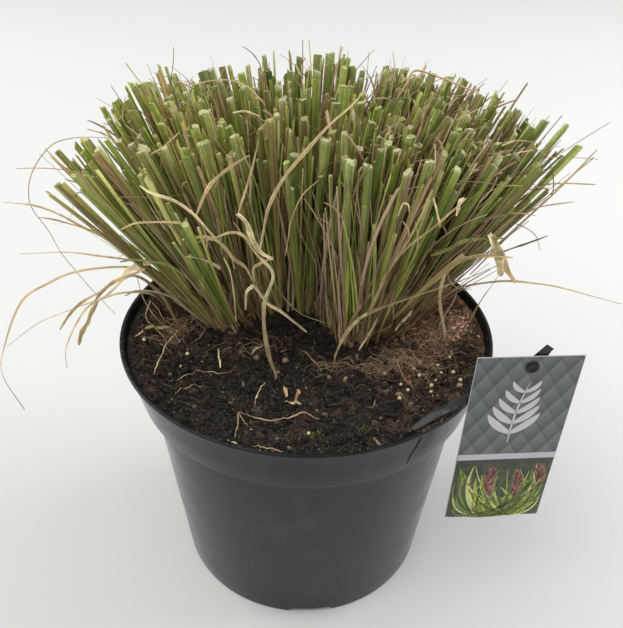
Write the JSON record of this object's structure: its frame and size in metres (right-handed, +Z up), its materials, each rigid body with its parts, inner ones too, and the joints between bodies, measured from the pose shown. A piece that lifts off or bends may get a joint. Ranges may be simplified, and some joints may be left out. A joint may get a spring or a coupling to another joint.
{
  "type": "potted ornamental grass clump",
  "caption": "Ornamental grass clump cut back to short stiff stems, growing in a dark nursery pot, with dry leaves and a hanging label card on a strap.",
  "frame": {"origin": "centre of the pot's base, on the surface that it stands on", "axes": "+Z up, -Y towards the front of the clump, where the bare soil is, +X to the right seen from the front"},
  "size_m": [0.4559, 0.3265, 0.3566],
  "materials": {
    "pot_plastic": "semi-matte",
    "compost": "rough",
    "grass_stem": "satin",
    "dry_leaf": "matte",
    "label_print": "satin",
    "strap_plastic": "satin"
  },
  "bodies": {
    "root": {"pot": "pot_plastic", "soil": "compost", "label_card": "label_print", "label_strap": "strap_plastic", "dry_leaf_left_long": "dry_leaf", "dry_leaf_left_low": "dry_leaf", "dry_leaf_left_drop": "dry_leaf", "dry_leaf_left_level": "dry_leaf", "dry_leaf_right_long": "dry_leaf", "dry_leaf_right_rim": "dry_leaf", "dry_leaf_front_right": "dry_leaf", "dry_leaf_front_hanging": "dry_leaf", "dry_leaf_back_left": "dry_leaf", "dry_leaf_back_right": "dry_leaf", "tuft_01": "grass_stem", "tuft_02": "grass_stem", "tuft_03": "grass_stem", "tuft_04": "grass_stem", "tuft_05": "grass_stem", "tuft_06": "grass_stem", "tuft_07": "grass_stem", "tuft_08": "grass_stem", "tuft_09": "grass_stem", "tuft_10": "grass_stem", "tuft_11": "grass_stem", "tuft_12": "grass_stem", "tuft_13": "grass_stem", "tuft_14": "grass_stem", "tuft_15": "grass_stem", "tuft_16": "grass_stem", "tuft_17": "grass_stem", "tuft_18": "grass_stem", "tuft_19": "grass_stem", "tuft_20": "grass_stem", "tuft_21": "grass_stem", "tuft_22": "grass_stem", "tuft_23": "grass_stem", "tuft_24": "grass_stem", "tuft_25": "grass_stem", "tuft_26": "grass_stem", "tuft_27": "grass_stem", "tuft_28": "grass_stem", "tuft_29": "grass_stem", "tuft_30": "grass_stem", "tuft_31": "grass_stem", "tuft_32": "grass_stem", "tuft_33": "grass_stem", "tuft_34": "grass_stem", "tuft_35": "grass_stem", "tuft_36": "grass_stem", "tuft_37": "grass_stem", "tuft_38": "grass_stem", "tuft_39": "grass_stem", "tuft_40": "grass_stem", "tuft_41": "grass_stem", "tuft_42": "grass_stem", "tuft_43": "grass_stem", "tuft_44": "grass_stem", "tuft_45": "grass_stem", "tuft_46": "grass_stem"}
  },
  "joints": []
}
